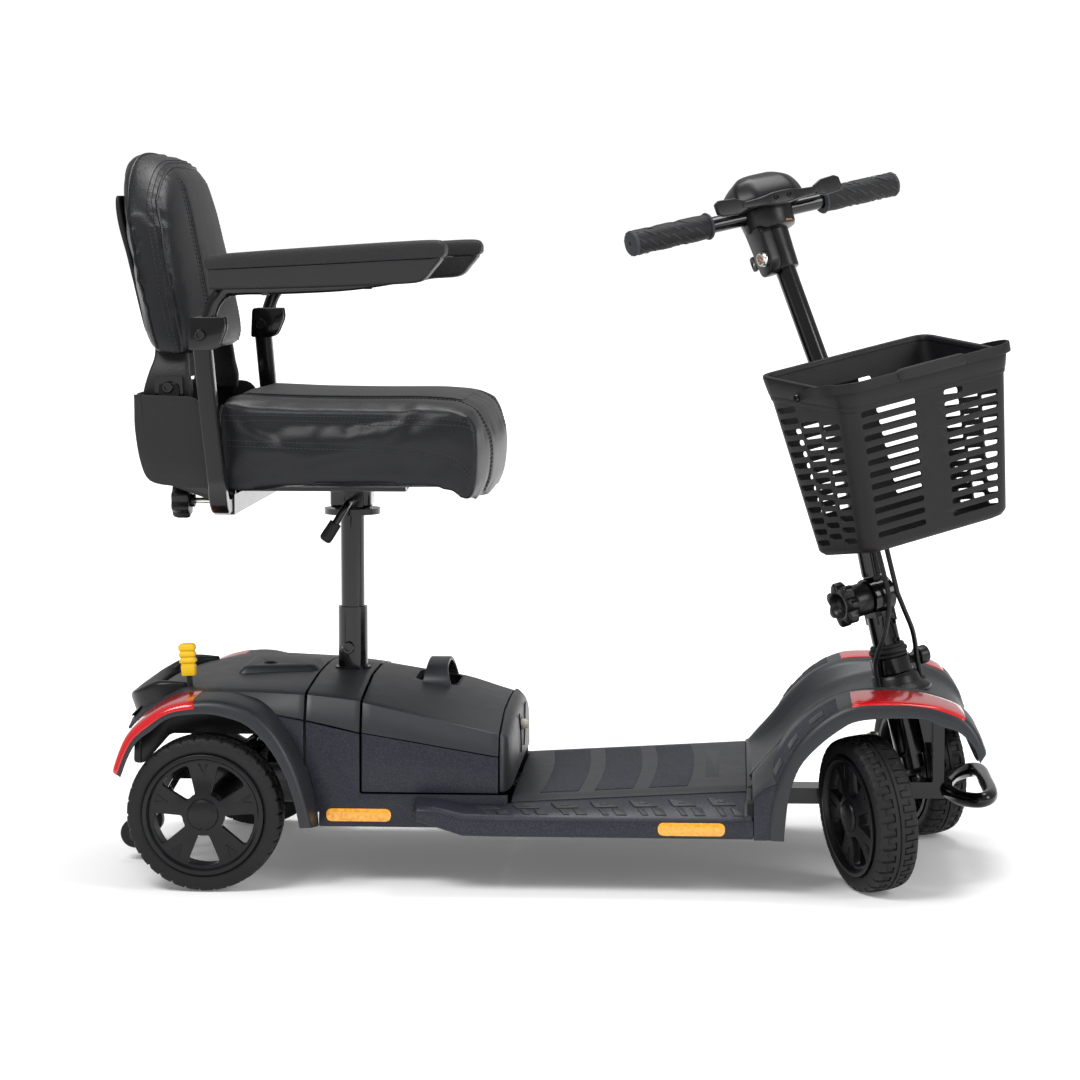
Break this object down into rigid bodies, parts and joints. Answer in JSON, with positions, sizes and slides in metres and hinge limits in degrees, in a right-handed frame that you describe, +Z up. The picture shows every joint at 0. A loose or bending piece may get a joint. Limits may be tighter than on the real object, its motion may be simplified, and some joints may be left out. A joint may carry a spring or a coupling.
{
  "type": "mobility scooter",
  "caption": "Electric mobility scooter with a folding tiller, swivel seat, flip-up armrests, front basket, lift-off battery pack and anti-tip rollers.",
  "frame": {"origin": "on the ground, under the middle of the scooter's overall box", "axes": "+X forward, +Y to the rider's left, +Z up"},
  "size_m": [1.1888, 0.63, 0.961],
  "materials": {
    "tyre": "matte",
    "rim": "satin",
    "frame_steel": "satin",
    "bare_steel": "satin",
    "cast_metal": "matte",
    "body_charcoal": "satin",
    "body_fleck": "satin",
    "panel_red": "gloss",
    "grip_pad": "matte",
    "black_plastic": "satin",
    "black_rubber": "matte",
    "yellow_plastic": "satin",
    "vinyl": "satin",
    "foam": "matte",
    "battery_block": "matte",
    "cable": "matte",
    "silver": "polished"
  },
  "bodies": {
    "chassis": {"main_frame": "frame_steel", "front_subframe": "frame_steel", "floor_deck": "body_charcoal", "grip_panels": "grip_pad", "lower_body": "body_fleck", "rear_cover": "body_charcoal", "rear_fender_right": "panel_red", "rear_fender_left": "panel_red", "front_cowl": "body_charcoal", "front_fender_right": "panel_red", "front_fender_left": "panel_red", "transaxle": "cast_metal", "drive_motor": "cast_metal", "motor_controller": "cast_metal", "front_bumper": "frame_steel", "anti_tip_frame": "frame_steel"},
    "anti_tip_rollers": {"anti_tip_wheels": "black_rubber"},
    "rear_wheel_right": {"rear_tyre_right": "tyre", "rear_rim_right": "rim", "drive_shaft_right": "bare_steel"},
    "rear_wheel_left": {"rear_tyre_left": "tyre", "rear_rim_left": "rim", "drive_shaft_left": "bare_steel"},
    "front_wheel_right": {"front_tyre_right": "tyre", "front_rim_right": "rim"},
    "front_wheel_left": {"front_tyre_left": "tyre", "front_rim_left": "rim"},
    "knuckle_right": {"knuckle_right": "frame_steel"},
    "knuckle_left": {"knuckle_left": "frame_steel"},
    "tie_rod_right": {"tie_rod_right": "frame_steel"},
    "tie_rod_left": {"tie_rod_left": "frame_steel"},
    "column": {"steering_column": "frame_steel"},
    "plunger": {"lock_plunger": "black_plastic"},
    "tiller": {"tiller_tube": "frame_steel", "tiller_head": "body_charcoal", "handlebar": "silver", "hand_grips": "black_rubber", "tiller_cables": "cable"},
    "tiller_knob": {"star_knob": "black_plastic"},
    "throttle": {"throttle_lever": "black_plastic"},
    "key": {"ignition_key": "silver"},
    "basket": {"basket": "black_plastic"},
    "basket_handle": {"basket_handle": "frame_steel"},
    "battery": {"battery_case": "body_fleck", "battery_cells": "battery_block"},
    "breaker": {"breaker_button": "black_plastic"},
    "freewheel": {"freewheel_lever": "yellow_plastic"},
    "seat_post": {"seat_post": "frame_steel"},
    "seat": {"seat_base": "frame_steel", "seat_shell": "black_plastic", "seat_cushion": "vinyl"},
    "swivel_release": {"swivel_lever": "black_plastic"},
    "backrest": {"backrest_shell": "black_plastic", "backrest_cushion": "vinyl"},
    "arm_post_right": {"arm_post_right": "frame_steel"},
    "arm_post_left": {"arm_post_left": "frame_steel"},
    "armrest_right": {"armrest_right": "foam"},
    "armrest_left": {"armrest_left": "foam"},
    "arm_knob_right": {"arm_knob_right": "black_plastic"},
    "arm_knob_left": {"arm_knob_left": "black_plastic"}
  },
  "joints": [
    {"name": "rear_wheel_right_spin", "type": "hinge", "parent": "chassis", "child": "rear_wheel_right", "pos_m": [-0.4474, -0.232, 0.1015], "axis": [0, 1, 0], "continuous": true},
    {"name": "rear_wheel_left_spin", "type": "hinge", "parent": "chassis", "child": "rear_wheel_left", "pos_m": [-0.4474, 0.232, 0.1015], "axis": [0, 1, 0], "continuous": true},
    {"name": "steering_turn", "type": "hinge", "parent": "chassis", "child": "column", "pos_m": [0.4466, 0, 0.268], "axis": [-0.225, 0, 0.9744], "range_deg": [0, 116]},
    {"name": "knuckle_right_turn", "type": "hinge", "parent": "chassis", "child": "knuckle_right", "pos_m": [0.4526, -0.182, 0.1015], "axis": [-0.1045, 0, 0.9945], "range_deg": [0, 136.01]},
    {"name": "front_wheel_right_spin", "type": "hinge", "parent": "knuckle_right", "child": "front_wheel_right", "pos_m": [0.40772, -0.19998, 0.10276], "axis": [0.9221, 0.3746, 0.0969], "continuous": true},
    {"name": "tie_rod_right_swing", "type": "hinge", "parent": "knuckle_right", "child": "tie_rod_right", "pos_m": [0.43298, -0.14306, 0.13765], "axis": [-0.1045, 0, 0.9945], "range_deg": [-136.01, 0]},
    {"name": "knuckle_left_turn", "type": "hinge", "parent": "chassis", "child": "knuckle_left", "pos_m": [0.4526, 0.182, 0.1015], "axis": [-0.1045, 0, 0.9945], "range_deg": [0, 136.01]},
    {"name": "front_wheel_left_spin", "type": "hinge", "parent": "knuckle_left", "child": "front_wheel_left", "pos_m": [0.49722, 0.19998, 0.10276], "axis": [0.9221, 0.3746, 0.0969], "continuous": true},
    {"name": "tie_rod_left_swing", "type": "hinge", "parent": "knuckle_left", "child": "tie_rod_left", "pos_m": [0.43298, 0.22094, 0.13765], "axis": [-0.1045, 0, 0.9945], "range_deg": [-136.01, 0]},
    {"name": "plunger_pull", "type": "slide", "parent": "column", "child": "plunger", "axis": [-0.8263, -0.5299, -0.1908], "range_m": [0, 0.008], "stiffness_N_per_m": 300, "springref_m": -0.003},
    {"name": "tiller_fold", "type": "hinge", "parent": "column", "child": "tiller", "pos_m": [0.42456, 0, 0.36349], "axis": [-0.8263, -0.5299, -0.1908], "range_deg": [0, 80], "deforming": ["tiller_cables"]},
    {"name": "tiller_knob_turn", "type": "hinge", "parent": "tiller", "child": "tiller_knob", "pos_m": [0.3915, -0.0212, 0.35586], "axis": [0.8263, 0.5299, 0.1908], "continuous": true},
    {"name": "throttle_rock", "type": "hinge", "parent": "tiller", "child": "throttle", "pos_m": [0.29408, 0.01368, 0.89065], "axis": [-0.3385, 0.1965, 0.9202], "range_deg": [-12, 12], "stiffness_Nm_per_rad": 0.6},
    {"name": "key_turn", "type": "hinge", "parent": "tiller", "child": "key", "pos_m": [0.26734, 0.08387, 0.81149], "axis": [0.4501, -0.825, 0.3418], "range_deg": [0, 90]},
    {"name": "basket_lift", "type": "slide", "parent": "tiller", "child": "basket", "axis": [-0.225, 0, 0.9744], "range_m": [0, 0.12]},
    {"name": "basket_handle_swing", "type": "hinge", "parent": "basket", "child": "basket_handle", "pos_m": [0.43161, -0.11873, 0.66274], "axis": [-0.8263, -0.5299, -0.1908], "range_deg": [0, 150]},
    {"name": "battery_lift", "type": "slide", "parent": "chassis", "child": "battery", "axis": [0, 0, 1], "range_m": [0, 0.15]},
    {"name": "breaker_press", "type": "slide", "parent": "battery", "child": "breaker", "axis": [-1, 0, 0], "range_m": [0, 0.004], "stiffness_N_per_m": 200, "springref_m": -0.002},
    {"name": "freewheel_throw", "type": "hinge", "parent": "chassis", "child": "freewheel", "pos_m": [-0.4814, -0.135, 0.218], "axis": [0, 1, 0], "range_deg": [0, 35]},
    {"name": "seat_height", "type": "slide", "parent": "chassis", "child": "seat_post", "axis": [0, 0, 1], "range_m": [0, 0.06]},
    {"name": "seat_swivel", "type": "hinge", "parent": "seat_post", "child": "seat", "pos_m": [-0.2824, 0, 0.478], "axis": [0, 0, 1], "continuous": true},
    {"name": "swivel_release_pull", "type": "hinge", "parent": "seat", "child": "swivel_release", "pos_m": [-0.2754, -0.08, 0.492], "axis": [0, 1, 0], "range_deg": [0, 20], "stiffness_Nm_per_rad": 0.5, "springref_deg": -17.19},
    {"name": "backrest_fold", "type": "hinge", "parent": "seat", "child": "backrest", "pos_m": [-0.4954, 0, 0.65], "axis": [0, 1, 0], "range_deg": [0, 78]},
    {"name": "arm_width_right", "type": "slide", "parent": "seat", "child": "arm_post_right", "axis": [0, -1, 0], "range_m": [0, 0.05]},
    {"name": "armrest_right_flip", "type": "hinge", "parent": "arm_post_right", "child": "armrest_right", "pos_m": [-0.4424, -0.262, 0.719], "axis": [0, -1, 0], "range_deg": [0, 95]},
    {"name": "arm_knob_right_turn", "type": "hinge", "parent": "seat", "child": "arm_knob_right", "pos_m": [-0.4874, -0.15, 0.499], "axis": [1, 0, 0], "continuous": true},
    {"name": "arm_width_left", "type": "slide", "parent": "seat", "child": "arm_post_left", "axis": [0, 1, 0], "range_m": [0, 0.05]},
    {"name": "armrest_left_flip", "type": "hinge", "parent": "arm_post_left", "child": "armrest_left", "pos_m": [-0.4424, 0.262, 0.719], "axis": [0, -1, 0], "range_deg": [0, 95]},
    {"name": "arm_knob_left_turn", "type": "hinge", "parent": "seat", "child": "arm_knob_left", "pos_m": [-0.4874, 0.15, 0.499], "axis": [1, 0, 0], "continuous": true},
    {"name": "anti_tip_roll", "type": "hinge", "parent": "chassis", "child": "anti_tip_rollers", "pos_m": [-0.5744, 0, 0.038], "axis": [0, 1, 0], "continuous": true}
  ],
  "couplings": [
    {"joint": "knuckle_right_turn", "follows": "steering_turn", "ratio": 1.1724},
    {"joint": "tie_rod_right_swing", "follows": "steering_turn", "ratio": -1.1724},
    {"joint": "knuckle_left_turn", "follows": "steering_turn", "ratio": 1.1724},
    {"joint": "tie_rod_left_swing", "follows": "steering_turn", "ratio": -1.1724}
  ]
}
